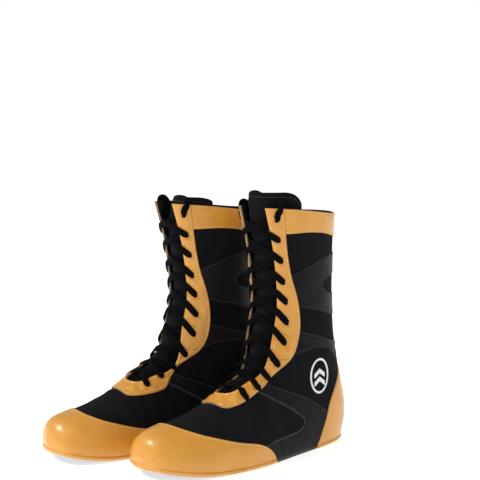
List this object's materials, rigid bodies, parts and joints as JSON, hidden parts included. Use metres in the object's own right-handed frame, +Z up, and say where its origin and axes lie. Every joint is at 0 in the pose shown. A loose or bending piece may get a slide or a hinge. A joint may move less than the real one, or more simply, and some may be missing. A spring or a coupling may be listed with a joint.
{
  "type": "boxing boots",
  "caption": "Pair of mid-calf laced boxing boots: thin flat soles, leather toe caps, heel counters and collars, textile and leather shafts, padded tongues and criss-cross laces.",
  "frame": {"origin": "middle of the pair's bounding box, on the floor", "axes": "+Z up, toes towards -Y, the wearer's left boot at +X and right boot at -X"},
  "size_m": [0.22, 0.3461, 0.299],
  "materials": {
    "sole_rubber": "fine moulded tread, matt",
    "board": "pressed fibre board",
    "gold_leather": "smooth satin leather with a soft sheen",
    "black_leather": "smooth leather with a soft grey sheen",
    "black_textile": "matt woven textile",
    "tongue_textile": "matt padded textile",
    "lining_textile": "brushed lining",
    "lace_textile": "flat woven lace",
    "aglet_plastic": "clear-coated plastic tip"
  },
  "bodies": {
    "left_boot": {"left_outsole": "sole_rubber", "left_insole_board": "board", "left_sock_liner": "lining_textile", "left_toe_rand": "gold_leather", "left_heel_rand": "gold_leather", "left_toe_cap": "gold_leather", "left_toe_puff": "board", "left_vamp": "black_textile", "left_midfoot_lateral": "black_leather", "left_midfoot_medial": "black_leather", "left_ankle_patch_lateral": "black_textile", "left_ankle_patch_medial": "black_textile", "left_ankle_band": "black_leather", "left_elastic_band": "black_textile", "left_shaft_leather": "black_leather", "left_shaft_textile": "black_textile", "left_collar_band": "gold_leather", "left_heel_counter": "gold_leather", "left_heel_stiffener": "board", "left_facing_throat": "gold_leather", "left_facing_lateral": "gold_leather", "left_facing_medial": "gold_leather", "left_tongue": "tongue_textile", "left_vamp_lining": "lining_textile", "left_lining_lateral": "lining_textile", "left_lining_medial": "lining_textile", "left_lace": "lace_textile", "left_lace_ends": "lace_textile", "left_aglets": "aglet_plastic"},
    "left_tongue_top": {"left_tongue_flap": "tongue_textile"},
    "right_boot": {"right_outsole": "sole_rubber", "right_insole_board": "board", "right_sock_liner": "lining_textile", "right_toe_rand": "gold_leather", "right_heel_rand": "gold_leather", "right_toe_cap": "gold_leather", "right_toe_puff": "board", "right_vamp": "black_textile", "right_midfoot_lateral": "black_leather", "right_midfoot_medial": "black_leather", "right_ankle_patch_lateral": "black_textile", "right_ankle_patch_medial": "black_textile", "right_ankle_band": "black_leather", "right_elastic_band": "black_textile", "right_shaft_leather": "black_leather", "right_shaft_textile": "black_textile", "right_collar_band": "gold_leather", "right_heel_counter": "gold_leather", "right_heel_stiffener": "board", "right_facing_throat": "gold_leather", "right_facing_lateral": "gold_leather", "right_facing_medial": "gold_leather", "right_tongue": "tongue_textile", "right_vamp_lining": "lining_textile", "right_lining_lateral": "lining_textile", "right_lining_medial": "lining_textile", "right_lace": "lace_textile", "right_lace_ends": "lace_textile", "right_aglets": "aglet_plastic"},
    "right_tongue_top": {"right_tongue_flap": "tongue_textile"}
  },
  "joints": [
    {"name": "right_boot_lift", "type": "slide", "parent": "left_boot", "child": "right_boot", "axis": [0, 0, 1], "range_m": [0, 0.32]},
    {"name": "left_tongue_fold", "type": "hinge", "parent": "left_boot", "child": "left_tongue_top", "pos_m": [0.05191, 0.0388, 0.275], "axis": [0.9903, 0.1392, 0], "range_deg": [-5, 35], "stiffness_Nm_per_rad": 0.02},
    {"name": "right_tongue_fold", "type": "hinge", "parent": "right_boot", "child": "right_tongue_top", "pos_m": [-0.05553, -0.00155, 0.275], "axis": [0.9986, -0.0523, 0], "range_deg": [-5, 35], "stiffness_Nm_per_rad": 0.02}
  ]
}
